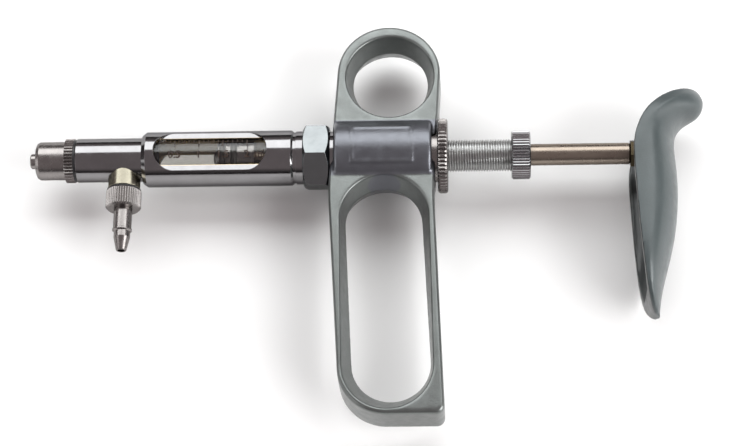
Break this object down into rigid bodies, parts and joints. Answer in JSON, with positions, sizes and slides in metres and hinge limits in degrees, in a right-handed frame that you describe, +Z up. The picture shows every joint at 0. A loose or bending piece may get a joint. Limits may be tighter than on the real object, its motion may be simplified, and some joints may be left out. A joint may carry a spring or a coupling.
{
  "type": "self-refilling metal syringe",
  "caption": "Metal self-refilling syringe with a windowed glass barrel, side inlet, two-loop finger handle, dose screw and sprung palm grip.",
  "frame": {"origin": "centre of the underside of the box round the syringe as it lies on its side, on the side of its palm grip", "axes": "+X along the barrel from the luer cone to the palm grip, +Y across it towards the round finger ring, +Z up from the surface that it lies on"},
  "size_m": [0.1825, 0.1104, 0.025],
  "materials": {
    "chrome": "polished chrome plate",
    "satin_nickel": "satin nickel plate, fine turning marks",
    "bright_steel": "bright turned thread",
    "warm_nickel": "warm-toned nickel plate over brass, polished",
    "spring_steel": "drawn stainless wire",
    "brass": "dull, darkened brass",
    "black_rubber": "matte nitrile rubber",
    "clear_glass": "clear glass with a printed volume scale",
    "silver_paint": "die casting in satin silver-grey metallic paint",
    "grey_paint": "die casting in smooth blue-grey paint"
  },
  "bodies": {
    "root": {"luer_connector": "satin_nickel", "connector_gasket": "black_rubber", "valve_body": "chrome", "outlet_valve_spring": "spring_steel", "inlet_neck": "warm_nickel", "inlet_o_ring": "black_rubber", "inlet_nut": "satin_nickel", "inlet_seat_washer": "black_rubber", "hose_barb": "satin_nickel", "inlet_valve_spring": "spring_steel", "barrel_sleeve": "chrome", "front_glass_gasket": "black_rubber", "glass_barrel": "clear_glass", "rear_glass_gasket": "black_rubber", "spring_seat": "warm_nickel", "return_spring": "spring_steel", "barrel_hex_nut": "chrome", "barrel_washer": "chrome", "handle_frame": "silver_paint"},
    "outlet_valve": {"outlet_valve": "black_rubber"},
    "inlet_valve": {"inlet_valve": "black_rubber"},
    "dose_screw": {"dose_screw": "bright_steel"},
    "dose_knob": {"dose_knob": "chrome"},
    "lock_nut": {"lock_nut": "satin_nickel"},
    "stop_collar": {"stop_collar": "warm_nickel"},
    "plunger": {"piston": "chrome", "piston_o_ring_front": "black_rubber", "piston_o_ring_rear": "black_rubber", "plunger_rod": "warm_nickel", "rod_end_nut": "brass", "palm_grip": "grey_paint"}
  },
  "joints": [
    {"name": "dose_slide", "type": "slide", "parent": "root", "child": "dose_screw", "axis": [1, 0, 0], "range_m": [0, 0.00805], "deforming": ["return_spring"]},
    {"name": "dose_turn", "type": "hinge", "parent": "dose_screw", "child": "dose_knob", "pos_m": [0.04175, 0.0191, 0.0125], "axis": [1, 0, 0], "range_deg": [0, 4140]},
    {"name": "lock_nut_turn", "type": "hinge", "parent": "root", "child": "lock_nut", "pos_m": [0.01975, 0.0191, 0.0125], "axis": [1, 0, 0], "range_deg": [0, 360]},
    {"name": "plunger_slide", "type": "slide", "parent": "dose_screw", "child": "stop_collar", "axis": [-1, 0, 0], "range_m": [0, 0.018], "stiffness_N_per_m": 450, "springref_m": -0.012, "deforming": ["return_spring"]},
    {"name": "plunger_turn", "type": "hinge", "parent": "stop_collar", "child": "plunger", "pos_m": [0.03875, 0.0191, 0.0125], "axis": [1, 0, 0], "continuous": true},
    {"name": "outlet_valve_lift", "type": "slide", "parent": "root", "child": "outlet_valve", "axis": [-1, 0, 0], "range_m": [0, 0.0008], "stiffness_N_per_m": 60, "springref_m": -0.003, "deforming": ["outlet_valve_spring"]},
    {"name": "inlet_valve_lift", "type": "slide", "parent": "root", "child": "inlet_valve", "axis": [0, 1, 0], "range_m": [0, 0.0008], "stiffness_N_per_m": 60, "springref_m": -0.003, "deforming": ["inlet_valve_spring"]}
  ],
  "couplings": [
    {"joint": "dose_turn", "follows": "dose_slide", "rad_per_m": 8976}
  ]
}
